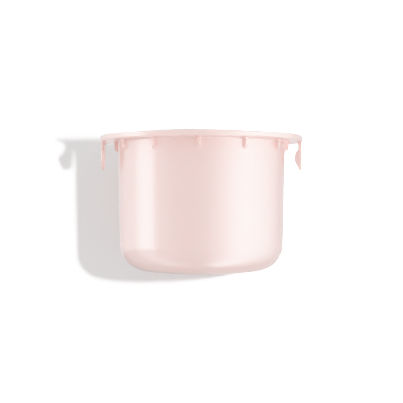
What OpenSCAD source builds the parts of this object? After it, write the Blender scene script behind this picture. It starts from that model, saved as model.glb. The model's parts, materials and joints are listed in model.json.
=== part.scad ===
// Snap-in inner pot for a small jar or warmer: a round cup with a wide thin flange,
// a ring of small fins under the flange, two tongues that hang from the flange's
// edge, and a peel-off foil seal with a lift tab.
// The origin is at the middle of the pot's bottom, +Z is up, millimetres.

/* [Pot] */
// Overall diameter of the flange
rim_d = 58; // [50:0.5:75]
// Height of the pot from its bottom to the top of the flange
pot_h = 38.2; // [26:0.2:60]
// How far the flange stands out from the wall under it
ledge = 5; // [4:0.1:8]
// Draft of the wall, in degrees from upright
draft = 1.2; // [0:0.1:3]
// Thickness of the wall
wall = 1.2; // [0.8:0.1:2.4]
// Thickness of the bottom
base_t = 1.2; // [0.8:0.1:2.4]
// Outer radius of the corner between wall and bottom
corner_r = 7.5; // [3:0.5:12]
// Radius of the bead round the mouth, on the inside edge
mouth_r = 0.4; // [0.2:0.1:0.6]

/* [Flange] */
// Thickness of the flange
flange_t = 1.5; // [1.2:0.1:3]
// Radius of the flange's rounded outer edges
edge_r = 0.35; // [0.1:0.05:0.5]

/* [Fins] */
// Number of fins under the flange
fin_n = 12; // [4:2:24]
// Thickness of a fin
fin_t = 0.9; // [0.6:0.1:2]
// How far a fin stands out from the wall
fin_out = 1.3; // [0.6:0.1:2]
// Height of a fin below the flange
fin_h = 3.1; // [2:0.1:6]
// Height of the sloping foot at the lower end of a fin
fin_foot = 1.2; // [0.4:0.1:2]

/* [Tongues] */
// Thickness of a tongue
tongue_t = 0.9; // [0.8:0.05:1.2]
// How far a tongue's outer face stays back from the flange's edge
tongue_inset = 0.2; // [0.1:0.05:0.5]
// Width of a tongue's stem
tongue_w = 3.2; // [2.4:0.1:4.4]
// How far a tongue hangs below the flange
tongue_h = 8; // [7.4:0.1:12]
// Gap between the top of the stem and the flange
tongue_gap = 0.15; // [0.1:0.05:0.3]
// Radial clearance round the rounded root in its groove
root_clear = 0.05; // [0.03:0.01:0.1]
// Clearance at each end of the rounded root
root_end_clear = 0.1; // [0.05:0.05:0.3]
// Sideways reach of the catch, from the middle of the stem
catch_out = 6.1; // [5:0.1:8]
// Depth of the middle of the catch below the flange
catch_z = 4.2; // [3.8:0.1:5]
// Radius of the catch's nose
catch_r = 1.9; // [1:0.1:2]
// Radius of the hollow where the catch leaves the stem
hollow_r = 0.5; // [0.3:0.1:0.8]
// Depth of that hollow's centre below the flange
hollow_z = 1.2; // [0.8:0.1:1.4]
// Radius of the tongue's tip
tip_r = 1.1; // [0.6:0.1:1.6]
// Sideways place of the tip, from the middle of the stem
tip_side = 0.5; // [0:0.1:2]
// Depth of the shoulder below the flange, on the side away from the catch
shoulder_z = 5.2; // [3:0.1:5.8]
// Radius of that shoulder
shoulder_r = 1; // [0.3:0.1:1.2]

/* [Seal] */
// Thickness of the foil seal
foil_t = 0.2; // [0.1:0.05:0.4]
// How far the foil stays back from the flange's edge
foil_inset = 0.4; // [0.2:0.1:2]
// Thickness of the lift tab
tab_t = 0.2; // [0.1:0.05:0.4]
// Gap between the foil and the tab that lies on it
tab_gap = 0.05; // [0.02:0.01:0.1]
// How far the tab stays back from the foil's edge
tab_inset = 0.6; // [0.2:0.1:2]
// Distance of the tab's fold line from the middle of the pot
tab_fold = 2.5; // [0:0.5:12]

/* [Hidden] */
$fn = 96;

pink = [0.97, 0.86, 0.85];
silver = [0.80, 0.81, 0.83];

rim_r = rim_d / 2;
body_r = rim_r - ledge;             // outer face of the wall at the flange
under_z = pot_h - flange_t;         // underside of the flange
tongue_r = rim_r - tongue_inset;    // outer face of a tongue
tongue_mid_r = tongue_r - tongue_t / 2; // middle of a tongue's thickness
root_r = tongue_t / 2;              // radius of the rounded root
groove_r = root_r + root_clear;
foil_r = rim_r - foil_inset;
foil_top = pot_h + foil_t;
tab_r = foil_r - tab_inset;
tab_z = foil_top + tab_gap + tab_t / 2;
past = 1;                           // how far cutters run past a face
far = 2 * rim_r;                    // longer than anything cut at the rim

// Radius of a drafted wall that is top_r wide at top_z, at the height z
function wall_at(top_r, top_z, z) = top_r - (top_z - z) * tan(draft);

// Section of a solid cup from z0 up to top_z: a drafted wall and a round corner
module cup_section(top_r, top_z, z0, r) {
    touch_z = z0 + r * (1 - sin(draft));
    touch_r = wall_at(top_r, top_z, touch_z);
    centre_r = touch_r - r * cos(draft);
    polygon([[0, z0], [centre_r, z0], [centre_r, z0 + r],
             [touch_r, touch_z], [top_r, top_z], [0, top_z]]);
    translate([centre_r, z0 + r]) circle(r);
}

// Section of the flange: a plate with a rounded outer edge
module flange_section() {
    translate([0, under_z]) square([rim_r - edge_r, flange_t]);
    translate([rim_r - 2 * edge_r, under_z + edge_r])
        square([2 * edge_r, flange_t - 2 * edge_r]);
    for (z = [under_z + edge_r, pot_h - edge_r])
        translate([rim_r - edge_r, z]) circle(edge_r, $fn = 32);
}

// Section of the mouth's rounded inner edge, which the cavity leaves standing
module mouth_cutter() {
    mouth = body_r - wall;
    difference() {
        translate([0, pot_h - mouth_r]) square([mouth + mouth_r, mouth_r + past]);
        translate([mouth + mouth_r, pot_h - mouth_r]) circle(mouth_r, $fn = 32);
    }
}

// The turned shell: body and flange, hollow and open at the top
module shell() {
    rotate_extrude() difference() {
        union() {
            intersection() {
                cup_section(body_r, under_z + edge_r, 0, corner_r);
                square([rim_r, pot_h]);
            }
            flange_section();
        }
        intersection() {
            cup_section(body_r - wall, pot_h + past, base_t, corner_r - wall);
            square([rim_r, pot_h + 2 * past]);
        }
        mouth_cutter();
    }
}

// One fin along +X: upright outer edge and a sloping foot that runs into the wall
module fin() {
    foot_z = under_z - fin_h;
    root = wall_at(body_r, under_z, foot_z) - wall / 2;
    edge = body_r + fin_out;
    rotate([90, 0, 0]) translate([0, 0, -fin_t / 2]) linear_extrude(fin_t)
        polygon([[root, foot_z], [body_r, foot_z], [edge, foot_z + fin_foot],
                 [edge, under_z + flange_t / 4], [root, under_z + flange_t / 4]]);
}

// Groove for a tongue's root, open downwards and outwards, for the tongue at +X
module root_groove() {
    width = tongue_w + 2 * root_end_clear;
    translate([tongue_mid_r, 0, under_z]) {
        rotate([90, 0, 0]) cylinder(r = groove_r, h = width, center = true);
        translate([0, -width / 2, -past]) cube([past * 2, width, past + groove_r]);
    }
}

module cup() {
    color(pink) difference() {
        union() {
            shell();
            for (i = [0 : fin_n - 1]) rotate([0, 0, i * 360 / fin_n]) fin();
        }
        for (a = [0, 180]) rotate([0, 0, a]) root_groove();
    }
}

// Points along an arc from angle a0 to angle a1
function arc(centre, r, a0, a1, steps = 12) =
    [for (i = [0 : steps]) let (a = a0 + (a1 - a0) * i / steps)
        centre + r * [cos(a), sin(a)]];

// Angle at which a straight side leaves circle p for circle q, both on its left
function leave_angle(p, rp, q, rq) =
    atan2(q[1] - p[1], q[0] - p[0]) - acos((rp - rq) / norm(q - p));

// Outline of a tongue, seen from outside: x is sideways, y is up, 0 at the flange.
// It runs down the stem, round the shoulder, tip and nose, along the catch's top
// and up through the hollow.
module tongue_outline() {
    half = tongue_w / 2;
    shoulder = [shoulder_r - half, -shoulder_z];
    tip = [tip_side, tip_r - tongue_h];
    nose = [catch_out - catch_r, -catch_z];
    hollow = [half + hollow_r, -hollow_z];
    to_nose_mid = nose - hollow;
    top_slope = atan2(to_nose_mid[1], to_nose_mid[0])
        + asin((hollow_r + catch_r) / norm(to_nose_mid));
    to_tip = leave_angle(shoulder, shoulder_r, tip, tip_r);
    to_nose = leave_angle(tip, tip_r, nose, catch_r);
    to_top = top_slope + 90;
    polygon(concat([[-half, -tongue_gap]],
                   arc(shoulder, shoulder_r, -180, to_tip),
                   arc(tip, tip_r, to_tip, to_nose),
                   arc(nose, catch_r, to_nose, to_top),
                   arc(hollow, hollow_r, to_top + 180, 180),
                   [[half, -tongue_gap]]));
}

// A tongue at +X: its outline cut from the flange's own cylinder, on a rounded root
module tongue() {
    intersection() {
        union() {
            translate([tongue_mid_r - tongue_t, 0, under_z])
                rotate([90, 0, 90]) linear_extrude(2 * tongue_t) tongue_outline();
            translate([tongue_mid_r, 0, under_z]) rotate([90, 0, 0])
                cylinder(r = root_r, h = tongue_w, center = true, $fn = 48);
        }
        difference() {
            cylinder(r = tongue_r, h = pot_h);
            translate([0, 0, -past])
                cylinder(r = tongue_r - tongue_t, h = under_z + past);
        }
    }
}

module tongue_right() {
    color(pink) tongue();
}

module tongue_left() {
    color(pink) rotate([0, 0, 180]) tongue();
}

module seal_foil() {
    color(silver) translate([0, 0, pot_h]) cylinder(r = foil_r, h = foil_t);
}

// Half-moon tab that lies on the back of the foil, with a rounded fold line
module pull_tab() {
    half = sqrt(tab_r * tab_r - tab_fold * tab_fold) - tab_t;
    color(silver) {
        intersection() {
            translate([0, 0, tab_z - tab_t / 2]) cylinder(r = tab_r, h = tab_t);
            translate([-far, tab_fold, 0]) cube([2 * far, far, pot_h + far]);
        }
        translate([0, tab_fold, tab_z]) rotate([0, 90, 0])
            cylinder(r = tab_t / 2, h = 2 * half, center = true, $fn = 24);
    }
}

cup();
tongue_right();
tongue_left();
seal_foil();
pull_tab();
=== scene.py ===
"""Looks of a small moulded inner pot with a peel-off foil seal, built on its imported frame.

Every piece is a closed surface worked out on a grid with numpy: the pot is a turned
profile whose wall swells into fins, a tongue is a rounded outline wrapped on the
flange's cylinder, and the seal and its tab are thin plates of foil. Lengths of the
pieces are in millimetres and become metres in ClosedGrid.build; the studio's lengths
are in metres.
"""
import json
import logging
import math
from dataclasses import dataclass
from enum import Enum
from typing import Any, Optional, Sequence, Union

import bmesh
import bpy
import numpy as np
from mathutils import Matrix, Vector


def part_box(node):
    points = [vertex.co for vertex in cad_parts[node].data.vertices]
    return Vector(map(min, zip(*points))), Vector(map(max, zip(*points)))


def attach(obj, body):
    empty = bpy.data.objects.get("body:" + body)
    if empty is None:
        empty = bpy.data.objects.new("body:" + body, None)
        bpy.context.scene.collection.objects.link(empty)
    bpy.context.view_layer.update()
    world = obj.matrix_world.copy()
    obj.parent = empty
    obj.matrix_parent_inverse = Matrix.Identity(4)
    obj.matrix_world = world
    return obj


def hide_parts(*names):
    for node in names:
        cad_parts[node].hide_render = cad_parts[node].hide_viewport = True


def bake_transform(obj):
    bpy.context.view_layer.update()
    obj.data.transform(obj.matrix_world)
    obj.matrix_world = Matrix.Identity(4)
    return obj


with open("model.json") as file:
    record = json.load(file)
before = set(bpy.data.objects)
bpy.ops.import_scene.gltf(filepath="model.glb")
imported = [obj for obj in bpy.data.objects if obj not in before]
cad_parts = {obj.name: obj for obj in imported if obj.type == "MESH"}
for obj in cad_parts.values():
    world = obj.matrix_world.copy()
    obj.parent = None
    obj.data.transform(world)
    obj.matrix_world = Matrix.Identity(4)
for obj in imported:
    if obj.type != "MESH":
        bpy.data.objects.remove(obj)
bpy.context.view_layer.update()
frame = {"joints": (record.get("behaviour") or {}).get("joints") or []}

MM = 0.001
TURN = 2.0 * math.pi
NO_LENGTH = 1e-9
SAME_PLACE = 1e-6
LOG = logging.getLogger("pot")

Array = np.ndarray
Numbers = Union[float, Array]
Pair = tuple[float, float]
Colour = tuple[float, float, float]


class Body(Enum):
    """Rigid bodies of the frame that pieces ride on."""

    POT = "pot"
    RIGHT_TONGUE = "right_tongue"
    LEFT_TONGUE = "left_tongue"
    SEAL = "seal"
    TAB = "tab"


class Slot(Enum):
    """Material slots of the record."""

    PINK_PLASTIC = "pink_plastic"
    SEAL_FOIL = "seal_foil"
    TAB_FOIL = "tab_foil"


class Side(Enum):
    """Which side of the pot a tongue hangs on: its sign along X."""

    RIGHT = 1
    LEFT = -1


# ---------------------------------------------------------------- numbers and curves

def smooth_step(x: Array, low: float, high: float) -> Array:
    """Eased ramp from 0 at low to 1 at high: 3 t squared less 2 t cubed.

    Args:
        x: values to ease.
        low: value where the ramp starts.
        high: value where the ramp ends.

    Returns:
        Values from 0 to 1, shaped as x.
    """
    t = np.clip((np.asarray(x, float) - low) / (high - low), 0.0, 1.0)
    return t * t * (3.0 - 2.0 * t)


def soft_positive(x: Array, radius: float) -> Array:
    """Rounded version of max(x, 0): half of x plus the root of x squared plus radius squared,
    less half the radius, so that it is 0 where x is 0.

    Args:
        x: values to round.
        radius: width of the rounding.

    Returns:
        Values of 0 or more, up to half the radius below the true maximum.
    """
    return np.maximum(0.5 * (x + np.sqrt(x * x + radius * radius)) - 0.5 * radius, 0.0)


def spaced(start: float, end: float, step: float) -> Array:
    """Evenly spaced values from start up to, but not with, end.

    Args:
        start: first value.
        end: value that is left out.
        step: largest spacing.

    Returns:
        The values.
    """
    count = max(1, math.ceil(abs(end - start) / step))
    return start + (end - start) * np.arange(count) / count


def arc_points(centre: Sequence[float], radius: float, start: float, end: float,
               count: int) -> Array:
    """An arc: its centre plus the radius times the cosine and sine of evenly spaced angles.

    Args:
        centre: place of the arc's centre.
        radius: the arc's radius.
        start: first angle in radians.
        end: last angle in radians.
        count: number of points.

    Returns:
        Points, one row each.
    """
    angle = np.linspace(start, end, count)
    return np.asarray(centre) + radius * np.column_stack([np.cos(angle), np.sin(angle)])


@dataclass(frozen=True)
class Corner:
    """A corner of a path: its place, the radius that rounds it, and the spacing after it."""

    x: float
    y: float
    radius: float = 0.0
    step: float = 1.0


def rounded_path(corners: Sequence[Corner], arc_step_deg: float = 9.0) -> Array:
    """An open path through corners, each rounded by an arc tangent to both its sides.

    The arc's centre lies on the corner's bisector at radius over the sine of half the
    corner's angle, and the straight stretches between arcs are cut at each corner's step.

    Args:
        corners: the corners in order.
        arc_step_deg: turning angle between points on an arc.

    Returns:
        Points, one row each.
    """
    places = np.array([(c.x, c.y) for c in corners])
    runs: list[Array] = []
    last = places[0]
    for i, corner in enumerate(corners):
        here = places[i]
        bow = here[None, :]
        if corner.radius > 0.0 and 0 < i < len(corners) - 1:
            back = (places[i - 1] - here) / np.linalg.norm(places[i - 1] - here)
            ahead = (places[i + 1] - here) / np.linalg.norm(places[i + 1] - here)
            half = 0.5 * math.acos(float(np.clip(back @ ahead, -1.0, 1.0)))
            middle = (back + ahead) / np.linalg.norm(back + ahead)
            centre = here + middle * corner.radius / math.sin(half)
            reach = corner.radius / math.tan(half)
            first = here + back * reach - centre
            cross = back[1] * ahead[0] - back[0] * ahead[1]
            swing = (math.pi - 2.0 * half) * (1.0 if cross > 0.0 else -1.0)
            count = max(2, math.ceil(abs(math.degrees(swing)) / arc_step_deg))
            angles = swing * np.arange(count + 1) / count
            bow = centre + np.column_stack([
                first[0] * np.cos(angles) - first[1] * np.sin(angles),
                first[0] * np.sin(angles) + first[1] * np.cos(angles)])
        if i > 0:
            length = float(np.linalg.norm(bow[0] - last))
            if length > NO_LENGTH:
                along = spaced(0.0, 1.0, corners[i - 1].step / length)[1:, None]
                runs.append(last + (bow[0] - last) * along)
        runs.append(bow)
        last = bow[-1]
    path = np.vstack(runs)
    moved = np.linalg.norm(np.diff(path, axis=0), axis=1) > SAME_PLACE
    return path[np.concatenate([[True], moved])]


def resampled(loop: Array, count: int) -> Array:
    """A closed loop cut into equal lengths.

    Args:
        loop: points of the loop, the last joined to the first.
        count: number of points wanted.

    Returns:
        Points at equal spacing along the loop.
    """
    closed = np.vstack([loop, loop[:1]])
    along = np.concatenate([[0.0], np.cumsum(np.linalg.norm(np.diff(closed, axis=0), axis=1))])
    wanted = along[-1] * np.arange(count) / count
    return np.column_stack([np.interp(wanted, along, closed[:, k]) for k in range(2)])


def inward_normals(loop: Array) -> Array:
    """Unit normals that point into an anticlockwise loop: the smoothed tangent turned left.

    Args:
        loop: points of the loop, evenly spaced.

    Returns:
        One normal for each point.
    """
    tangent = np.roll(loop, -1, axis=0) - np.roll(loop, 1, axis=0)
    normal = np.column_stack([-tangent[:, 1], tangent[:, 0]])
    return normal / np.linalg.norm(normal, axis=1)[:, None]


# ---------------------------------------------------------------- meshes

@dataclass
class ClosedGrid:
    """A closed surface: rings of equal count, one after another, with a pole at each end."""

    name: str
    first_pole: Array
    rings: Array
    last_pole: Array

    def build(self) -> bpy.types.Object:
        """Makes the mesh, with quads between rings and triangles at the poles.

        The faces are turned round as a whole if the signed volume, the sum over triangles of
        a corner's product with the cross product of the other two, comes out negative.

        Returns:
            The new object, at the origin, in metres, shaded smooth.
        """
        count, around = self.rings.shape[:2]
        points = np.vstack([self.first_pole[None, :], self.rings.reshape(-1, 3),
                            self.last_pole[None, :]]) * MM
        ids = 1 + np.arange(count * around).reshape(count, around)
        after = np.roll(ids, -1, axis=1)
        quads = np.stack([ids[:-1], after[:-1], after[1:], ids[1:]], axis=-1).reshape(-1, 4)
        last = len(points) - 1
        start = np.column_stack([np.zeros(around, int), after[0], ids[0]])
        end = np.column_stack([np.full(around, last), ids[-1], after[-1]])
        triangles = np.vstack([start, end, quads[:, [0, 1, 2]], quads[:, [0, 2, 3]]])
        a, b, c = (points[triangles[:, k]] for k in range(3))
        if float(np.einsum("ij,ij->", a, np.cross(b, c))) < 0.0:
            quads, start, end = quads[:, ::-1], start[:, ::-1], end[:, ::-1]
        corners = np.concatenate([start.ravel(), end.ravel(), quads.ravel()]).astype(np.int32)
        sizes = np.concatenate([np.full(2 * around, 3), np.full(len(quads), 4)])
        mesh = bpy.data.meshes.new(self.name)
        mesh.vertices.add(len(points))
        mesh.vertices.foreach_set("co", points.astype(np.float32).ravel())
        mesh.loops.add(len(corners))
        mesh.loops.foreach_set("vertex_index", corners)
        mesh.polygons.add(len(sizes))
        starts = np.concatenate([[0], np.cumsum(sizes)[:-1]]).astype(np.int32)
        mesh.polygons.foreach_set("loop_start", starts)
        mesh.polygons.foreach_set("use_smooth", np.ones(len(sizes), bool))
        mesh.update(calc_edges=True)
        mesh.validate()
        made = bpy.data.objects.new(self.name, mesh)
        bpy.context.scene.collection.objects.link(made)
        return made


def report(piece: bpy.types.Object, what: str) -> None:
    """Logs a finished piece with its face count and size in millimetres."""
    size = [round(v / MM, 1) for v in piece.dimensions]
    LOG.info("%s: %s, %d faces, %s mm", piece.name, what, len(piece.data.polygons), size)


# ---------------------------------------------------------------- shader tools

Value = Union["Socket", float]


class Socket:
    """An output socket that takes part in Python sums: each operator adds a Math node."""

    def __init__(self, nodes: "Nodes", output: bpy.types.NodeSocket) -> None:
        """Wraps an output socket of a node tree."""
        self.nodes = nodes
        self.output = output

    def _math(self, operation: str, *values: Value) -> "Socket":
        """Adds one Math node fed by the values."""
        return self.nodes.math(operation, *values)

    def __add__(self, other: Value) -> "Socket":
        """Sum."""
        return self._math("ADD", self, other)

    def __radd__(self, other: Value) -> "Socket":
        """Sum, reflected."""
        return self._math("ADD", other, self)

    def __sub__(self, other: Value) -> "Socket":
        """Difference."""
        return self._math("SUBTRACT", self, other)

    def __rsub__(self, other: Value) -> "Socket":
        """Difference, reflected."""
        return self._math("SUBTRACT", other, self)

    def __mul__(self, other: Value) -> "Socket":
        """Product."""
        return self._math("MULTIPLY", self, other)

    def __rmul__(self, other: Value) -> "Socket":
        """Product, reflected."""
        return self._math("MULTIPLY", other, self)

    def __truediv__(self, other: Value) -> "Socket":
        """Quotient."""
        return self._math("DIVIDE", self, other)

    def __pow__(self, other: Value) -> "Socket":
        """Power."""
        return self._math("POWER", self, other)


class Nodes:
    """A node tree and one method that adds any node to it."""

    def __init__(self, tree: bpy.types.NodeTree) -> None:
        """Keeps the tree that nodes are added to."""
        self.tree = tree

    def node(self, kind: str, settings: Optional[dict[str, Any]] = None,
             inputs: Optional[dict[Union[str, int], Any]] = None,
             output: Union[str, int] = 0) -> Socket:
        """Adds a node, sets its properties first and then its sockets.

        Args:
            kind: the node's type.
            settings: properties by name.
            inputs: values or links by socket name or number.
            output: the output socket wanted.

        Returns:
            That output, ready for sums.
        """
        made = self.tree.nodes.new(kind)
        for key, value in (settings or {}).items():
            setattr(made, key, value)
        for key, value in (inputs or {}).items():
            self.feed(made.inputs[key], value)
        return Socket(self, made.outputs[output])

    def feed(self, socket: bpy.types.NodeSocket, value: Any) -> None:
        """Links a wrapped output to a socket, or sets the socket's value.

        Args:
            socket: the input socket.
            value: a wrapped output or a plain value.
        """
        if isinstance(value, Socket):
            self.tree.links.new(value.output, socket)
        else:
            socket.default_value = value

    def math(self, operation: str, *values: Value) -> Socket:
        """One Math node."""
        return self.node("ShaderNodeMath", {"operation": operation}, dict(enumerate(values)))

    def mix(self, factor: Value, a: Any, b: Any) -> Socket:
        """Mixes two colours.

        Args:
            factor: 0 for the first colour, 1 for the second.
            a: the first colour, as a tuple or a link.
            b: the second colour.

        Returns:
            The mixed colour.
        """
        colours = [(*c, 1.0) if isinstance(c, tuple) else c for c in (a, b)]
        return self.node("ShaderNodeMix", {"data_type": "RGBA"},
                         {0: factor, 6: colours[0], 7: colours[1]}, 2)

    def coordinates(self) -> Socket:
        """Object coordinates, in metres."""
        return self.node("ShaderNodeTexCoord", output="Object")

    def split(self, vector: Socket) -> tuple[Socket, Socket, Socket]:
        """Takes a vector apart.

        Args:
            vector: the vector.

        Returns:
            Its x, y and z.
        """
        made = self.tree.nodes.new("ShaderNodeSeparateXYZ")
        self.feed(made.inputs[0], vector)
        x, y, z = (Socket(self, made.outputs[k]) for k in range(3))
        return x, y, z

    def noise(self, vector: Socket, scale: float, detail: float = 2.0,
              roughness: float = 0.5) -> Socket:
        """Adds noise.

        Args:
            vector: coordinates in metres.
            scale: cycles per metre.
            detail: number of finer layers.
            roughness: strength of each finer layer.

        Returns:
            The noise, about 0.5 on average.
        """
        return self.node("ShaderNodeTexNoise", {},
                         {"Vector": vector, "Scale": scale, "Detail": detail,
                          "Roughness": roughness}, "Fac")

    def eased(self, value: Socket, low: float, high: float, start: float = 0.0,
              end: float = 1.0, kind: str = "SMOOTHSTEP") -> Socket:
        """Adds a ramp that is flat outside its ends.

        Args:
            value: what the ramp follows.
            low: value where the ramp begins; it may be above high.
            high: value where the ramp stops.
            start: the result at low.
            end: the result at high.
            kind: SMOOTHSTEP for an eased ramp or LINEAR for a straight one.

        Returns:
            The ramp's result.
        """
        return self.node("ShaderNodeMapRange", {"interpolation_type": kind},
                         {"Value": value, "From Min": low, "From Max": high,
                          "To Min": start, "To Max": end})

    def scaled(self, vector: Socket, scale: tuple[float, float, float]) -> Socket:
        """A vector with each part multiplied."""
        return self.node("ShaderNodeMapping", {}, {"Vector": vector, "Scale": scale})

    def bump(self, height: Socket, strength: float, distance: float) -> Socket:
        """Adds a bump.

        Args:
            height: the height, in units of distance.
            strength: share of the bump that shows.
            distance: the height's unit, in metres.

        Returns:
            The bumped normal.
        """
        return self.node("ShaderNodeBump", {}, {"Height": height, "Strength": strength,
                                                "Distance": distance})


class Shader(Nodes):
    """A material of its own name with a Principled surface."""

    def __init__(self, name: str) -> None:
        """Starts a material that holds only its surface and output.

        Args:
            name: the material's name.
        """
        self.material = bpy.data.materials.new(name)
        self.material.use_nodes = True
        super().__init__(self.material.node_tree)
        self.tree.nodes.clear()
        self.surface = self.tree.nodes.new("ShaderNodeBsdfPrincipled")
        out = self.tree.nodes.new("ShaderNodeOutputMaterial")
        self.tree.links.new(self.surface.outputs["BSDF"], out.inputs["Surface"])

    def set(self, **values: Any) -> None:
        """Sets or links sockets of the Principled surface; underscores stand for spaces."""
        for key, value in values.items():
            self.feed(self.surface.inputs[key.replace("_", " ")], value)


# ---------------------------------------------------------------- finishes

@dataclass(frozen=True)
class PinkPlastic:
    """Glossy pale pink plastic that light enters a little way.

    Scales are in cycles per metre, and lengths in metres.
    """

    base: Colour = (0.918, 0.660, 0.624)
    pale: Colour = (0.928, 0.684, 0.652)
    roughness: float = 0.13
    roughness_spread: float = 0.05
    glow: float = 0.25
    glow_reach: Colour = (1.0, 0.45, 0.35)
    glow_depth: float = 0.0022
    ior: float = 1.49
    cloud_scale: float = 55.0
    flow_scale: Colour = (90.0, 90.0, 14.0)
    grain_scale: float = 5200.0
    grain_gloss: float = 0.04
    wave_scale: float = 320.0
    wave_share: float = 9.0
    bump: float = 0.35
    bump_high: float = 2.5e-6

    def make(self, name: str) -> bpy.types.Material:
        """Builds the material: cloudy tint, uneven gloss and a very fine mould grain.

        Args:
            name: the material's name.

        Returns:
            The material.
        """
        s = Shader(name)
        where = s.coordinates()
        cloud = s.noise(where, self.cloud_scale, 3.0)
        flow = s.noise(s.scaled(where, self.flow_scale), 1.0, 4.0)
        grain = s.noise(where, self.grain_scale, 2.0, 0.6)
        wave = s.noise(where, self.wave_scale, 2.0)
        s.set(Base_Color=s.mix(cloud, self.base, self.pale),
              Roughness=self.roughness + self.roughness_spread * (flow - 0.5)
              + self.grain_gloss * (grain - 0.5),
              Normal=s.bump(grain + self.wave_share * wave, self.bump, self.bump_high),
              IOR=self.ior, Subsurface_Weight=self.glow,
              Subsurface_Radius=self.glow_reach, Subsurface_Scale=self.glow_depth)
        return s.material


@dataclass(frozen=True)
class SealFoil:
    """Satin aluminium laminate: rolling lines, faint creases and a knurled sealing ring.

    Scales are in cycles per metre, and ring_mm is the ring's inner and outer radius.
    """

    base: Colour = (0.74, 0.745, 0.76)
    # dark end of the base colour: painted shade in the knurl and the creases, and the rolling
    # lines' darker tone
    painted_shade_and_tone: Colour = (0.43, 0.44, 0.46)
    roughness: float = 0.24
    ring_mm: Pair = (23.6, 28.2)
    ring_fade_mm: float = 0.3
    ring_turns: float = 150.0
    ring_rows: float = 1500.0
    ring_high: float = 12.0
    # share of painted shade where the knurl dips
    ring_painted_shade: float = 0.45
    ring_matt: float = 0.10
    rolling_scale: Colour = (60.0, 4200.0, 60.0)
    rolling_high: float = 1.2
    rolling_dull: float = 0.25
    rolling_matt: float = 0.10
    crease_scale: float = 130.0
    crease_high: float = 40.0
    crease_span: Pair = (0.40, 0.62)
    # share of painted shade in the creases
    crease_painted_shade: float = 0.26
    bump: float = 0.5
    bump_high: float = 2.0e-6

    def make(self, name: str) -> bpy.types.Material:
        """Builds the material. The knurl is the product of two sine waves that run round and
        outwards, one leaning each way. Where the knurl dips, the foil is lower and painted
        shade darkens it.

        Args:
            name: the material's name.

        Returns:
            The material.
        """
        s = Shader(name)
        where = s.coordinates()
        x, y, _ = s.split(where)
        radius = (x * x + y * y) ** 0.5
        turn = s.math("ARCTAN2", y, x)
        inner, outer = self.ring_mm
        fade = self.ring_fade_mm
        in_ring = (s.eased(radius, (inner - fade) * MM, inner * MM)
                   * s.eased(radius, (outer + fade) * MM, outer * MM))
        round_it, outwards = turn * self.ring_turns, radius * (TURN * self.ring_rows)
        knurl = s.math("SINE", round_it + outwards) * s.math("SINE", round_it - outwards)
        rolling = s.noise(s.scaled(where, self.rolling_scale), 1.0, 3.0, 0.7)
        crease = s.noise(where, self.crease_scale, 3.0, 0.55)
        height = (rolling * self.rolling_high + crease * self.crease_high
                  + knurl * in_ring * self.ring_high)
        # painted shade: the sealing ring is darkened where its knurl dips
        painted_hollow_shade = (0.5 - 0.5 * knurl) * in_ring * self.ring_painted_shade
        # painted shade: the creases are darkened
        painted_crease_shade = s.eased(crease, *self.crease_span, 0.0, self.crease_painted_shade)
        # base colour: painted shade plus the rolling lines' own darker tone
        s.set(Base_Color=s.mix(painted_hollow_shade + painted_crease_shade + self.rolling_dull * rolling,
                               self.base, self.painted_shade_and_tone),
              Metallic=1.0,
              Roughness=self.roughness + self.rolling_matt * (rolling - 0.5)
              + self.ring_matt * in_ring,
              Normal=s.bump(height, self.bump, self.bump_high))
        return s.material


@dataclass(frozen=True)
class TabFoil:
    """The tab's laminate: a little whiter and softer than the seal, with a fine crosshatch.

    The crosshatch is in cycles per metre and the grip's places are in millimetres.
    """

    base: Colour = (0.84, 0.84, 0.85)
    # dark end of the base colour: painted shade
    painted_shade_and_tone: Colour = (0.52, 0.525, 0.54)
    metal: float = 0.85
    roughness: float = 0.32
    hatch: float = 900.0
    hatch_high: float = 3.0
    # share of painted shade in the hatch's low places
    hatch_painted_shade: float = 0.22
    grip_from: float = 13.5
    grip_to: float = 25.0
    grip_pitch: float = 1.6
    grip_fade: float = 0.5
    # share of painted shade between the grip's ribs
    grip_painted_shade: float = 0.45
    crease_scale: float = 170.0
    crease_high: float = 30.0
    # share of painted shade in the creases
    crease_painted_shade: float = 0.3
    crease_matt: float = 0.08
    bump: float = 0.5
    bump_high: float = 2.0e-6

    def make(self, name: str) -> bpy.types.Material:
        """Builds the material. The hatch is the product of two sine waves along the two
        diagonals. Painted shade darkens the grip between its ribs, the hatch's low places
        and the creases.

        Args:
            name: the material's name.

        Returns:
            The material.
        """
        s = Shader(name)
        where = s.coordinates()
        x, y, _ = s.split(where)
        hatch = (s.math("SINE", (x + y) * (TURN * self.hatch))
                 * s.math("SINE", (x - y) * (TURN * self.hatch)))
        crease = s.noise(where, self.crease_scale, 3.0, 0.55)
        start, end, fade = self.grip_from, self.grip_to, self.grip_fade
        grip = (s.eased(y, (start - fade) * MM, (start + fade) * MM)
                * s.eased((x * x + y * y) ** 0.5, end * MM, (end - 2.0 * fade) * MM))
        # where the grip sits low between its ribs, for the painted shade
        between = 0.5 - 0.5 * s.math("COSINE", y * (TURN / (self.grip_pitch * MM)))
        # painted shade: darker between the grip's ribs, in the hatch's low places and in the
        # creases
        shade = (grip * between * self.grip_painted_shade + (0.5 - 0.5 * hatch) * self.hatch_painted_shade
                 + crease * self.crease_painted_shade)
        s.set(Base_Color=s.mix(shade, self.base, self.painted_shade_and_tone),
              Metallic=self.metal,
              Roughness=self.roughness + self.crease_matt * (crease - 0.5),
              Normal=s.bump(hatch * self.hatch_high + crease * self.crease_high,
                            self.bump, self.bump_high))
        return s.material


# ---------------------------------------------------------------- the pot

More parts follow.
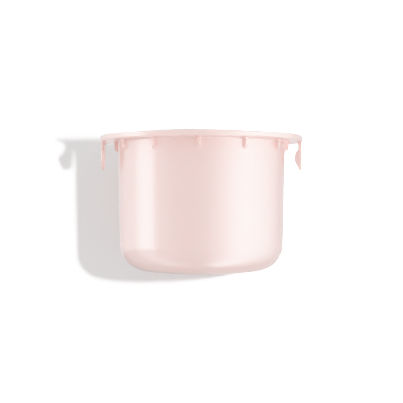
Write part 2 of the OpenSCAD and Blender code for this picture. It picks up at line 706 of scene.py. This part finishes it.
@dataclass(frozen=True)
class Measures:
    """Sizes that several pieces share, in millimetres, read from the frame."""

    rim_r: float
    rim_top: float
    under_z: float
    tongue_r: float
    tongue_mid_r: float
    tongue_low: float
    foil_r: float
    foil_top: float
    tab_r: float
    tab_low: float
    tab_top: float
    fold_y: float

    @classmethod
    def from_frame(cls) -> "Measures":
        """Reads the CAD boxes and joint places.

        Returns:
            The shared sizes.
        """
        joints = {j["name"]: j for j in frame["joints"]}
        hinge = joints["right_tongue_flex"]["pos_m"]
        cup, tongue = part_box("cup"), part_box("tongue_right")
        foil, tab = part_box("seal_foil"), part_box("pull_tab")
        return cls(rim_r=cup[1].x / MM, rim_top=cup[1].z / MM, under_z=hinge[2] / MM,
                   tongue_r=tongue[1].x / MM, tongue_mid_r=hinge[0] / MM,
                   tongue_low=tongue[0].z / MM, foil_r=foil[1].x / MM,
                   foil_top=foil[1].z / MM, tab_r=tab[1].y / MM, tab_low=tab[0].z / MM,
                   tab_top=tab[1].z / MM, fold_y=joints["tab_fold"]["pos_m"][1] / MM)


@dataclass
class Pot:
    """The cup: a turned wall and flange whose outside swells into fins, in one moulding."""

    m: Measures
    body_r: float = 24.0
    draft_deg: float = 1.2
    wall: float = 1.2
    base_t: float = 1.2
    corner_r: float = 7.5
    edge_r: float = 0.35
    mouth_r: float = 0.4
    root_r: float = 0.45
    foot_r: float = 14.6
    foot_edge: float = 0.2
    foot_slope: float = 0.35
    recess: float = 0.35
    gate_r: float = 1.1
    gate_high: float = 0.12
    gate_edge: float = 0.08
    fin_count: int = 12
    fin_t: float = 0.9
    fin_out: float = 1.3
    fin_taper: float = 0.25
    fin_h: float = 3.1
    fin_foot: float = 1.2
    fin_edge: float = 0.14
    fin_blend: float = 0.22
    fin_lead: float = 0.15
    fin_below: float = 1.0
    fin_past: float = 0.8
    face_shares: Sequence[float] = (0.0, 0.35, 0.62)
    side_steps: Sequence[float] = (-0.13, -0.08, -0.03, 0.02, 0.07, 0.13, 0.22, 0.36, 0.6)
    between: int = 10
    arc_step_deg: float = 7.5

    def wall_at(self, z: Numbers, top_r: float) -> Numbers:
        """Radius of a drafted wall at height z, top_r being its radius at the flange."""
        return top_r - (self.m.under_z - z) * math.tan(math.radians(self.draft_deg))

    def profile(self) -> Array:
        """Radius and height from the middle of the underside, out, up and back inside.

        Returns:
            Points in the half plane, the first and last on the axis.
        """
        m, z_in = self.m, self.base_t
        gate_z = self.recess - self.gate_high
        fins_z = m.under_z - self.fin_h - self.fin_below
        bore_r = self.body_r - self.wall
        corners = [
            Corner(0.0, gate_z, step=0.25),
            Corner(self.gate_r, gate_z, self.gate_edge, step=0.1),
            Corner(self.gate_r + self.gate_high, self.recess, self.gate_edge, step=1.2),
            Corner(self.foot_r, self.recess, self.foot_edge, step=0.1),
            Corner(self.foot_r + self.foot_slope, 0.0, self.foot_edge, step=0.3),
            Corner(self.wall_at(0.0, self.body_r), 0.0, self.corner_r, step=1.2),
            Corner(self.wall_at(fins_z, self.body_r), fins_z, step=0.14),
            Corner(self.body_r, m.under_z, self.root_r, step=0.16),
            Corner(self.body_r + self.fin_out + self.fin_past, m.under_z, step=0.8),
            Corner(m.rim_r, m.under_z, self.edge_r, step=0.4),
            Corner(m.rim_r, m.rim_top, self.edge_r, step=1.0),
            Corner(self.wall_at(m.rim_top, bore_r), m.rim_top, self.mouth_r, step=1.2),
            Corner(self.wall_at(z_in, bore_r), z_in, self.corner_r - self.wall, step=1.0),
            Corner(0.0, z_in)]
        return rounded_path(corners, self.arc_step_deg)

    def turns(self) -> Array:
        """Angles round the pot: close together across each fin and wider between fins.

        Returns:
            Angles in radians, from the middle of one fin onwards.
        """
        half = 0.5 * self.fin_t
        across = np.concatenate([half * np.array(self.face_shares),
                                 half + np.array(self.side_steps)]) / self.body_r
        pitch = TURN / self.fin_count
        free = np.linspace(across[-1], pitch - across[-1], self.between)[1:-1]
        one = np.concatenate([across, free, pitch - across[:0:-1]])
        return np.concatenate([one + k * pitch for k in range(self.fin_count)])

    def fin_radius(self, z: Array) -> Array:
        """Radius of a fin's outer edge: the wall, then a sloping foot, then an edge that leans
        out a little towards the flange.

        Args:
            z: heights in millimetres.

        Returns:
            Radii, shaped as z.
        """
        foot_z = self.m.under_z - self.fin_h
        wall = self.wall_at(z, self.body_r)
        rise = smooth_step(z, foot_z - self.fin_lead, foot_z + self.fin_foot)
        lean = self.fin_taper * np.clip((self.m.under_z - z) / self.fin_h, 0.0, 1.0)
        return wall + rise * (self.body_r + self.fin_out - lean - wall)

    def build(self) -> bpy.types.Object:
        """Turns the profile, then pushes it out to the fins' edges at the fins' angles.

        The push is the rounded positive part of the fin's radius less the profile's, times
        a mask that is 1 across a fin and eases to 0 at its sides.

        Returns:
            The pot's mesh object.
        """
        path, turn = self.profile(), self.turns()
        r, z = path[:, 0], path[:, 1]
        pitch = TURN / self.fin_count
        off = np.abs((turn + 0.5 * pitch) % pitch - 0.5 * pitch) * self.body_r
        mask = 1.0 - smooth_step(off, 0.5 * self.fin_t - self.fin_edge,
                                 0.5 * self.fin_t + self.fin_edge)
        tip = int(np.argmax(r))
        outside = np.arange(len(r)) < tip
        fins_z = self.m.under_z - self.fin_h - self.fin_below
        in_fins = outside & (z > fins_z) & (z <= self.m.under_z)
        push = np.where(in_fins, soft_positive(self.fin_radius(z) - r, self.fin_blend), 0.0)
        radius = r[:, None] + push[:, None] * mask[None, :]
        rings = np.stack([radius * np.cos(turn), radius * np.sin(turn),
                          np.broadcast_to(z[:, None], radius.shape)], axis=-1)
        return ClosedGrid("pot_moulding", rings[0, 0], rings[1:-1], rings[-1, 0]).build()

    def dress(self, finish: PinkPlastic) -> bpy.types.Object:
        """Builds the pot, gives it its finish and puts it on its body.

        Args:
            finish: the plastic.

        Returns:
            The finished piece.
        """
        piece = self.build()
        piece.data.materials.append(finish.make("pink_plastic_pot"))
        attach(piece, Body.POT.value)
        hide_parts("cup")
        report(piece, "turned moulding with fins")
        return piece


@dataclass
class Tongue:
    """A thin tongue that hangs from the flange's edge, with a catch on one side."""

    m: Measures
    side: Side
    stem_w: float = 3.2
    catch_out: float = 6.1
    catch_z: float = 4.2
    catch_r: float = 1.9
    hollow_r: float = 0.5
    hollow_z: float = 1.2
    tip_r: float = 1.1
    tip_side: float = 0.5
    shoulder_z: float = 5.2
    shoulder_r: float = 1.0
    buried: float = 0.55
    edge_r: float = 0.22
    root_flare: float = 0.5
    flare_share: float = 1.1
    bend: Pair = (-0.1, 1.4)
    middle: Pair = (0.9, -3.4)
    cap_shares: Sequence[float] = (0.12, 0.26, 0.42, 0.58, 0.74, 0.88)
    edge_count: int = 7
    arc_count: int = 24
    around: int = 180

    @property
    def name(self) -> str:
        """The piece's name."""
        return f"lock_tongue_{self.side.name.lower()}"

    def outline(self) -> Array:
        """Outline seen from outside, sideways and up from the flange, anticlockwise.

        It runs down the stem, round the shoulder, tip and nose, along the catch's sloping
        top and up through the hollow. Arcs meet straight sides at their tangent points.

        Returns:
            Evenly spaced points of the closed loop.
        """
        half = 0.5 * self.stem_w
        depth = self.m.under_z - self.m.tongue_low
        shoulder = np.array([self.shoulder_r - half, -self.shoulder_z])
        tip = np.array([self.tip_side, self.tip_r - depth])
        nose = np.array([self.catch_out - self.catch_r, -self.catch_z])
        hollow = np.array([half + self.hollow_r, -self.hollow_z])

        def leave(p: Array, rp: float, q: Array, rq: float) -> float:
            """Angle on circle p where a straight side leaves it for circle q."""
            d = q - p
            return math.atan2(d[1], d[0]) - math.acos((rp - rq) / float(np.hypot(*d)))

        gap = nose - hollow
        slope = (math.atan2(gap[1], gap[0])
                 + math.asin((self.hollow_r + self.catch_r) / float(np.hypot(*gap))))
        to_tip = leave(shoulder, self.shoulder_r, tip, self.tip_r)
        to_nose = leave(tip, self.tip_r, nose, self.catch_r)
        to_top = slope + 0.5 * math.pi
        bows = ((shoulder, self.shoulder_r, -math.pi, to_tip),
                (tip, self.tip_r, to_tip, to_nose),
                (nose, self.catch_r, to_nose, to_top),
                (hollow, self.hollow_r, to_top + math.pi, math.pi))
        loop = np.vstack([[[-half, self.buried]],
                          *(arc_points(*bow, self.arc_count) for bow in bows),
                          [[half, self.buried]]])
        return resampled(loop, self.around)

    def build(self) -> bpy.types.Object:
        """Wraps the outline on the flange's cylinder and rounds its edges.

        Across the thickness the outline first grows from an inner point to the edge's
        start, then turns round a quarter circle, down the side, round another quarter and
        back to the point. A point at sideways u on radius r sits at x = root of r squared
        less u squared. The inner face flares where the stem meets the flange.

        Returns:
            The tongue's mesh object.
        """
        loop = self.outline()
        inward = inward_normals(loop)
        centre = np.array(self.middle)
        half_t = self.m.tongue_r - self.m.tongue_mid_r
        inset = loop + inward * self.edge_r
        angle = np.linspace(0.0, 0.5 * math.pi, self.edge_count)
        cap = centre + (inset - centre) * np.array(self.cap_shares)[:, None, None]
        turn_in = self.edge_r * (1.0 - np.cos(angle))[::-1]
        rim = loop + inward * turn_in[:, None, None]
        drop = self.edge_r * (1.0 - np.sin(angle[::-1]))
        flat = np.vstack([cap, rim, rim[::-1], cap[::-1]])
        depth = np.concatenate([np.full(len(cap), half_t), half_t - drop,
                                (drop - half_t)[::-1], np.full(len(cap), -half_t)])
        points = self.wrap(flat, np.broadcast_to(depth[:, None], flat.shape[:2]))
        poles = self.wrap(np.vstack([centre, centre]), np.array([half_t, -half_t]))
        return ClosedGrid(self.name, poles[0], points, poles[1]).build()

    def wrap(self, flat: Array, depth: Array) -> Array:
        """Places flat points on the cylinder, at a depth outwards from its middle radius.

        Args:
            flat: sideways and upward places, the last axis holding the two.
            depth: outward places, shaped as flat without its last axis.

        Returns:
            Points in the frame, millimetres.
        """
        u, up = flat[..., 0], flat[..., 1]
        near_root = np.clip(1.0 + up / self.root_flare, 0.0, 1.0) ** 2
        inner = np.clip(-depth, 0.0, None) * near_root * self.flare_share
        r = self.m.tongue_mid_r + depth - inner
        x = np.sqrt(r * r - u * u)
        sign = float(self.side.value)
        return np.stack([sign * x, sign * u, self.m.under_z + up], axis=-1)

    def dress(self, finish: PinkPlastic) -> bpy.types.Object:
        """Builds the tongue, gives it its finish and hides the CAD model's tongue.

        Args:
            finish: the plastic.

        Returns:
            The finished piece.
        """
        piece = self.build()
        piece.data.materials.append(finish.make(f"pink_plastic_{self.name}"))
        right = self.side is Side.RIGHT
        x = self.side.value * self.m.tongue_mid_r * MM
        start, end = ((x, 0.0, (self.m.under_z - d) * MM) for d in self.bend)
        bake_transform(piece)
        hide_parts("tongue_right" if right else "tongue_left")
        report(piece, "moulded tongue that bends at its root")
        return piece


# ---------------------------------------------------------------- the seal

@dataclass(frozen=True)
class FoilWaves:
    """Slow unevenness of thin foil: crossed sine waves, each of its own direction, length
    and phase, in millimetres and radians."""

    size: float
    count: int = 6
    first_turn: float = 0.7
    turn_step: float = 1.9
    shortest: float = 9.0
    length_step: float = 3.7
    phase_step: float = 1.3

    def height(self, x: Array, y: Array) -> Array:
        """Mean of the waves, each the sine of the distance along its direction.

        Args:
            x: places in millimetres.
            y: places in millimetres.

        Returns:
            Heights up to the size, shaped as x.
        """
        total = np.zeros(np.shape(x))
        for k in range(self.count):
            a = self.first_turn + self.turn_step * k
            length = self.shortest + self.length_step * ((k * (self.count - 1)) % self.count)
            along = TURN * (x * math.cos(a) + y * math.sin(a)) / length
            total = total + np.sin(along + self.phase_step * k)
        return self.size * total / self.count


@dataclass
class SealMembrane:
    """The foil disc sealed to the rim: a pressed ring on the flange and a slack middle."""

    m: Measures
    waves: FoilWaves = FoilWaves(0.035)
    ring_in: float = 23.4
    ring_press: float = 0.035
    ring_edges: Pair = (-0.35, 0.15)
    rim_edges: Pair = (-0.9, -0.5)
    slack: float = 0.06
    slack_w: float = 5.0
    dip: float = 0.03
    thick: float = 0.17
    thick_to: float = 1.2
    top_gap: float = 0.01
    seat_gap: float = 0.002
    edge_drop: float = 0.03
    edge_lift: Sequence[float] = (0.03, 0.005, 0.0)
    edge_wave: float = 0.05
    edge_waves: float = 36.0
    inner_shares: tuple[float, float, int] = (0.04, 0.80, 26)
    outer_shares: tuple[float, float, int] = (0.81, 0.99, 20)
    edge_shares: Sequence[float] = (0.9975, 0.9993, 1.0)
    around: int = 288

    def build(self) -> bpy.types.Object:
        """A closed thin disc: the top from its middle to the edge, then the underside back.

        The top's height is the foil's, less a shallow step across the pressed ring, less
        the slack of the middle, which is greatest at the centre, plus foil waves.

        Returns:
            The membrane's mesh object.
        """
        turn = TURN * np.arange(self.around) / self.around
        ripple = (1.0 + np.sin(self.edge_waves * turn)) * 0.5
        edge = self.m.foil_r - self.edge_wave * ripple
        share = np.concatenate([np.linspace(*self.inner_shares),
                                np.linspace(*self.outer_shares), self.edge_shares])
        r_top = share[:, None] * edge[None, :]
        x, y = r_top * np.cos(turn), r_top * np.sin(turn)
        z_top = self.height(x, y, r_top)
        z_top[-1] -= self.edge_drop
        seat = self.m.rim_top + self.seat_gap
        under = z_top[::-1] - self.thick
        over_mouth = r_top[::-1] < self.ring_in - self.thick_to
        z_low = np.where(over_mouth, under, np.maximum(under, seat))
        z_low[:len(self.edge_lift)] = seat + np.array(self.edge_lift)[:, None]
        rings = np.concatenate([np.stack([x, y, z_top], axis=-1),
                                np.stack([x[::-1], y[::-1], z_low], axis=-1)])
        zero = np.zeros(1)
        middle = float(self.height(zero, zero, zero)[0])
        return ClosedGrid("seal_membrane", np.array([0.0, 0.0, middle]), rings,
                          np.array([0.0, 0.0, middle - self.thick])).build()

    def height(self, x: Array, y: Array, r: Array) -> Array:
        """Height of the foil's top face: the foil's top less the pressed ring and the sag, plus
        the waves where the foil is free.

        Args:
            x: places in millimetres.
            y: places in millimetres.
            r: their distances from the axis.

        Returns:
            Heights in millimetres, shaped as r.
        """
        free = 1.0 - smooth_step(r, self.ring_in - self.slack_w, self.ring_in)
        ring, rim = ([edge + at for at in places] for edge, places in
                     ((self.ring_in, self.ring_edges), (self.m.foil_r, self.rim_edges)))
        pressed = smooth_step(r, *ring) * (1.0 - smooth_step(r, *rim))
        sag = self.slack * np.clip(1.0 - (r / self.ring_in) ** 2, 0.0, 1.0)
        flat = self.m.foil_top - self.top_gap - self.ring_press * pressed - sag
        return flat + self.waves.height(x, y) * free - self.dip * free

    def dress(self, finish: SealFoil) -> bpy.types.Object:
        """Builds the membrane, gives it its finish and puts it on its body.

        Args:
            finish: the foil.

        Returns:
            The finished piece.
        """
        piece = self.build()
        piece.data.materials.append(finish.make("seal_foil_skin"))
        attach(piece, Body.SEAL.value)
        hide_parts("seal_foil")
        report(piece, "foil disc")
        return piece


@dataclass
class LiftTab:
    """The half-moon tab on the seal: a folded root, a raised grip and a smooth edge."""

    m: Measures
    waves: FoilWaves = FoilWaves(0.02)
    waves_shift: float = 7.0
    waves_fade: Pair = (0.5, 4.0)
    corner_r: float = 3.0
    fold_w: float = 1.2
    grip_from: float = 13.0
    grip_fade: float = 1.0
    grip_inset: Pair = (-3.2, -2.2)
    rib_power: float = 1.5
    grip_pitch: float = TabFoil.grip_pitch
    grip_high: float = 0.05
    thick: float = 0.14
    low_gap: float = 0.01
    top_gap: float = 0.005
    edge_round: float = 0.04
    lift_share: float = 0.5
    corner_count: int = 30
    round_count: int = 200
    shares: tuple[float, float, int] = (0.03, 0.97, 64)
    edge_shares: Sequence[float] = (0.985, 0.995, 1.0)
    around: int = 260

    def outline(self) -> Array:
        """A circle cut by the fold line, with both sharp corners rounded.

        Returns:
            Evenly spaced points of the closed loop, anticlockwise from the right.
        """
        r, y0 = self.m.tab_r, self.m.fold_y
        inner = r - self.corner_r
        cy = y0 + self.corner_r
        cx = math.sqrt(inner * inner - cy * cy)
        meet = math.atan2(cy, cx)

        n, small = self.corner_count, self.corner_r
        loop = np.vstack([
            arc_points((cx, cy), small, -0.5 * math.pi, meet, n),
            arc_points((0.0, 0.0), r, meet, math.pi - meet, self.round_count),
            arc_points((-cx, cy), small, math.pi - meet, 1.5 * math.pi, n)])
        return resampled(loop, self.around)

    def height(self, x: Array, y: Array) -> Array:
        """Raised ribs of the grip above the tab's flat face: rounded bars across the tab's
        outer part, faded out towards its edge.

        Args:
            x: places in millimetres.
            y: places in millimetres.

        Returns:
            Heights above the face, shaped as x.
        """
        inside = smooth_step(y, self.grip_from, self.grip_from + self.grip_fade)
        ends = [self.m.tab_r + inset for inset in self.grip_inset]
        inside = inside * (1.0 - smooth_step(np.hypot(x, y), *ends))
        bars = 0.5 + 0.5 * np.cos(TURN * y / self.grip_pitch)
        return self.grip_high * inside * bars ** self.rib_power

    def build(self) -> bpy.types.Object:
        """A closed thin plate: rings grow from a middle point to the outline and back below.

        Returns:
            The tab's mesh object.
        """
        loop = self.outline()
        centre = np.array([0.0, 0.5 * (self.m.fold_y + self.m.tab_r) - 1.0])
        share = np.concatenate([np.linspace(*self.shares), self.edge_shares])
        flat = centre + (loop - centre) * share[:, None, None]
        x, y = flat[..., 0], flat[..., 1]
        low = self.m.tab_low + self.low_gap
        fade = [self.m.fold_y + at for at in self.waves_fade]
        waves = self.waves.height(x + self.waves_shift, y) + self.waves.size
        lift = waves * smooth_step(y, *fade) * self.lift_share
        top = np.minimum(low + self.thick + lift + self.height(x, y),
                         self.m.tab_top - self.top_gap)
        top[-1] -= self.edge_round
        bottom = np.maximum(low + lift, low)
        bottom[-1] += self.edge_round
        rings = np.concatenate([np.stack([x, y, top], axis=-1),
                                np.stack([x, y, bottom], axis=-1)[::-1]])
        pole = np.array([centre[0], centre[1], float(top[0].mean())])
        under = np.array([centre[0], centre[1], float(bottom[0].mean())])
        return ClosedGrid("lift_tab", pole, rings, under).build()

    def dress(self, finish: TabFoil) -> bpy.types.Object:
        """Builds the tab, gives it its finish and hides the CAD model's tab.

        Args:
            finish: the tab's foil.

        Returns:
            The finished piece.
        """
        piece = self.build()
        piece.data.materials.append(finish.make("tab_foil_skin"))
        z = 0.5 * (self.m.tab_low + self.m.tab_top) * MM
        end = (0.0, (self.m.fold_y + self.fold_w) * MM, z)
        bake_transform(piece)
        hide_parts("pull_tab")
        report(piece, "half-moon tab")
        return piece


# ---------------------------------------------------------------- the studio

@dataclass(frozen=True)
class Card:
    """A soft light card: the azimuths in degrees over which it comes in and goes out again,
    and how much light it adds between them."""

    come_in: Pair
    go_out: Pair
    level: float


@dataclass(frozen=True)
class LightRing:
    """A ring of soft light cards round the pot that only reflections see.

    It is a short upright cylinder about the pot's axis, of an even dim level to which each
    card adds its own. The azimuth is 0 towards the camera and grows towards +X. A narrow card
    stands in a wide weak one on the left, and a broad one on the right. On the left the light
    ends at a crisp lower edge, below which it goes on more weakly, as a pale table returns it.
    """

    radius: float = 0.6
    dim: float = 0.8
    peak: float = 10.0
    low_deg: float = -80.0
    edge_deg: float = -12.0
    high_deg: float = 24.0
    below: float = 0.45
    lowest: float = 0.7
    left_to: float = -40.0
    left_soft: float = 25.0
    edge_soft: float = 1.0
    around: int = 128
    rows: int = 32
    cards: Sequence[Card] = (Card((-105.0, -80.0), (-70.0, -60.0), 4.0),
                             Card((-150.0, -75.0), (-75.0, -25.0), 2.5),
                             Card((-5.0, 70.0), (50.0, 140.0), 8.5))

    def build(self, centre_z: float) -> bpy.types.Object:
        """Makes the ring: radius times the sine and cosine of the azimuth, and the height that
        the elevation's tangent gives.

        Args:
            centre_z: height of the ring's middle in metres.

        Returns:
            The stage object.
        """
        turn = TURN * np.arange(self.around) / self.around
        tilt = np.radians(np.linspace(self.low_deg, self.high_deg, self.rows))
        x = np.broadcast_to(self.radius * np.sin(turn), (self.rows, self.around))
        y = np.broadcast_to(-self.radius * np.cos(turn), x.shape)
        z = np.broadcast_to((centre_z + self.radius * np.tan(tilt))[:, None], x.shape)
        ids = np.arange(x.size).reshape(x.shape)
        after = np.roll(ids, -1, axis=1)
        quads = np.stack([ids[:-1], after[:-1], after[1:], ids[1:]], axis=-1).reshape(-1, 4)
        mesh = bpy.data.meshes.new("stage_light_ring")
        mesh.from_pydata(np.stack([x, y, z], axis=-1).reshape(-1, 3).tolist(), [],
                         quads.tolist())
        mesh.materials.append(self.glow(centre_z))
        made = bpy.data.objects.new("stage_light_ring", mesh)
        made.visible_camera = made.visible_diffuse = made.visible_shadow = False
        made.visible_transmission = False
        bpy.context.scene.collection.objects.link(made)
        return made

    def glow(self, centre_z: float) -> bpy.types.Material:
        """The ring's light: the dim level plus each card's, times the share at the elevation.

        Args:
            centre_z: height of the ring's middle in metres.

        Returns:
            The material.
        """
        s = Shader("light_ring")
        x, y, z = s.split(s.coordinates())
        azimuth = s.math("ARCTAN2", x, 0.0 - y) * math.degrees(1.0)
        level: Value = self.dim
        for card in self.cards:
            goes = 1.0 - s.eased(azimuth, *card.go_out)
            level = s.eased(azimuth, *card.come_in) * goes * card.level + level
        tilt = s.math("ARCTAN2", z - centre_z, self.radius) * math.degrees(1.0)
        above = s.eased(tilt, self.edge_deg - self.edge_soft, self.edge_deg + self.edge_soft,
                        self.below)
        left = s.eased(azimuth, self.left_to, self.left_to - self.left_soft)
        rise = s.eased(tilt, self.low_deg, self.edge_deg, self.lowest, kind="LINEAR")
        share = (1.0 - left * (1.0 - above)) * rise
        s.set(Base_Color=(0.0, 0.0, 0.0, 1.0), Roughness=1.0, Specular_IOR_Level=0.0,
              Emission_Color=s.mix(share * level / self.peak, (0.0, 0.0, 0.0),
                                   (1.0, 1.0, 1.0)),
              Emission_Strength=self.peak)
        return s.material


@dataclass
class Studio:
    """Pale floor and backdrop, soft light and the camera."""

    m: Measures
    distance: float = 0.261
    azimuth: float = 1.5
    lens: float = 80.9
    sensor: float = 36.0
    eye_below_top: float = 18.69
    floor_r: float = 0.060
    floor_solid_r: float = 0.010
    floor_fade_r: float = 0.0175
    floor_fade_y: Pair = (-0.016, -0.009)
    floor_shade: float = 0.9
    floor_glow: float = 0.6
    floor_corners: int = 96
    wall_y: float = 0.0305
    wall_half: float = 0.10
    wall_shade: float = 0.73
    room_r: float = 3.0
    surround: float = 1.0
    under: float = 0.8
    sideways: float = 0.14
    bright_from: float = 0.15
    white: float = 1.5
    key_azimuth: float = 20.9
    key_distance: float = 0.20
    key_z: float = 0.0285
    key_radius: float = 0.009
    key_power: float = 5.8
    brightest: float = 1.4
    shoulder: Sequence[Pair] = ((0.8, 0.8), (0.95, 0.9), (1.1, 0.965), (1.25, 0.99))

    def show(self, name: str, mesh: bpy.types.Mesh, finish: Shader) -> bpy.types.Object:
        """Puts a stage mesh in the scene so that only the camera sees it.

        Args:
            name: the object's name.
            mesh: its mesh.
            finish: its material's shader.

        Returns:
            The stage object.
        """
        made = bpy.data.objects.new(name, mesh)
        mesh.materials.append(finish.material)
        made.visible_glossy = made.visible_diffuse = made.visible_shadow = False
        made.visible_transmission = False
        bpy.context.scene.collection.objects.link(made)
        return made

    def pale(self, name: str, shade: float, glow: float) -> Shader:
        """A matt pale finish that gives off some light of its own.

        Args:
            name: the material's name.
            shade: its grey level.
            glow: its own light's strength.

        Returns:
            The finish's shader.
        """
        s = Shader(name)
        s.set(Base_Color=(shade, shade, shade, 1.0), Roughness=1.0, Specular_IOR_Level=0.0,
              Emission_Color=(1.0, 1.0, 1.0, 1.0), Emission_Strength=glow)
        return s

    def disc(self, name: str, radius: float) -> bpy.types.Mesh:
        """A flat round sheet at height 0: one polygon with its corners on a circle.

        Args:
            name: the mesh's name.
            radius: the circle's radius in metres.

        Returns:
            The mesh.
        """
        turn = TURN * np.arange(self.floor_corners) / self.floor_corners
        mesh = bpy.data.meshes.new(name)
        points = np.column_stack([radius * np.cos(turn), radius * np.sin(turn), 0.0 * turn])
        mesh.from_pydata(points.tolist(), [], [tuple(range(self.floor_corners))])
        return mesh

    def build_floor(self) -> None:
        """Makes the pale floor, which is there only near the pot's middle and in front."""
        floor = self.pale("stage_floor", self.floor_shade, self.floor_glow)
        x, y, _ = floor.split(floor.coordinates())
        near = floor.eased((x * x + y * y) ** 0.5, self.floor_solid_r, self.floor_fade_r,
                           1.0, 0.0)
        floor.set(Alpha=near * floor.eased(y, *self.floor_fade_y, 1.0, 0.0))
        self.show("stage_floor", self.disc("stage_floor", self.floor_r), floor)

    def build_room(self) -> None:
        """Makes the white room: a ball round everything."""
        ball = bmesh.new()
        bmesh.ops.create_icosphere(ball, subdivisions=3, radius=self.room_r)
        room = bpy.data.meshes.new("stage_room")
        ball.to_mesh(room)
        ball.free()
        self.show("stage_room", room, self.pale("stage_room", 0.0, self.white))

    def build_backdrop(self) -> None:
        """Makes the backdrop, which shows only its front, and the lamp that lights it alone,
        so that the pot's shadow falls on it."""
        w, back = self.wall_half, self.wall_y
        sheet = bpy.data.meshes.new("stage_backdrop")
        sheet.from_pydata([(-w, back, -w), (w, back, -w), (w, back, w), (-w, back, w)], [],
                          [(0, 1, 2, 3)])
        front = self.pale("stage_backdrop", self.wall_shade, 0.0)
        front.set(Alpha=1.0 - front.node("ShaderNodeNewGeometry", output="Backfacing"))
        wall = self.show("stage_backdrop", sheet, front)
        lamp = bpy.data.lights.new("backdrop_key", "POINT")
        lamp.shadow_soft_size = self.key_radius
        lamp.energy = self.key_power
        key = bpy.data.objects.new("backdrop_key", lamp)
        a = math.radians(self.key_azimuth)
        key.location = (self.key_distance * math.sin(a), -self.key_distance * math.cos(a),
                        self.key_z)
        key.visible_glossy = key.visible_camera = False
        bpy.context.scene.collection.objects.link(key)
        lit = bpy.data.collections.new("lit_by_backdrop_key")
        lit.objects.link(wall)
        key.light_linking.receiver_collection = lit

    def build_surround(self) -> None:
        """Sets an even white surround that is a little dimmer from below and from the left:
        its level follows the direction's upward part plus a share of its sideways part."""
        world = bpy.data.worlds.new("surround")
        bpy.context.scene.world = world
        world.use_nodes = True
        nodes = Nodes(world.node_tree)
        direction = nodes.node("ShaderNodeTexCoord", output="Generated")
        slope = nodes.node("ShaderNodeVectorMath", {"operation": "DOT_PRODUCT"},
                           {0: direction, 1: (self.sideways, 0.0, 1.0)}, "Value")
        level = nodes.eased(slope, -1.0, self.bright_from, self.surround * self.under,
                            self.surround, "LINEAR")
        background = world.node_tree.nodes["Background"]
        nodes.feed(background.inputs["Strength"], level)
        nodes.feed(background.inputs["Color"], (1.0, 1.0, 1.0, 1.0))

    def build_view(self) -> None:
        """Rounds off the brightest values, as film does."""
        view = bpy.context.scene.view_settings
        view.view_transform = "Standard"
        view.use_curve_mapping = True
        mapping = view.curve_mapping
        mapping.white_level = (self.brightest,) * 3
        for value, shown in self.shoulder:
            mapping.curves[3].points.new(value / self.brightest, shown)
        mapping.update()

    def build_camera(self) -> bpy.types.Object:
        """A level camera at the height of the pot's middle.

        Returns:
            The camera's object.
        """
        data = bpy.data.cameras.new("camera")
        data.lens, data.sensor_width = self.lens, self.sensor
        data.clip_start, data.clip_end = 0.01, 20.0
        made = bpy.data.objects.new("camera", data)
        a = math.radians(self.azimuth)
        out = Vector((math.sin(a), -math.cos(a), 0.0))
        eye = Vector((0.0, 0.0, (self.m.foil_top - self.eye_below_top) * MM))
        made.location = eye + out * self.distance
        made.rotation_mode = "QUATERNION"
        made.rotation_quaternion = out.to_track_quat("Z", "Y")
        bpy.context.scene.collection.objects.link(made)
        bpy.context.scene.camera = made
        return made


# ---------------------------------------------------------------- assembly


def main() -> None:
    """Builds the studio, then every piece in order."""
    logging.basicConfig(level=logging.INFO, format="%(name)s: %(message)s")
    m = Measures.from_frame()
    studio = Studio(m)
    studio.build_camera()
    studio.build_floor()
    studio.build_room()
    studio.build_backdrop()
    LightRing().build(0.5 * m.rim_top * MM)
    studio.build_surround()
    studio.build_view()
    pink = PinkPlastic()
    Pot(m).dress(pink)
    for side in Side:
        Tongue(m, side).dress(pink)
    SealMembrane(m).dress(SealFoil())
    LiftTab(m).dress(TabFoil())


if __name__ == "__main__":
    main()
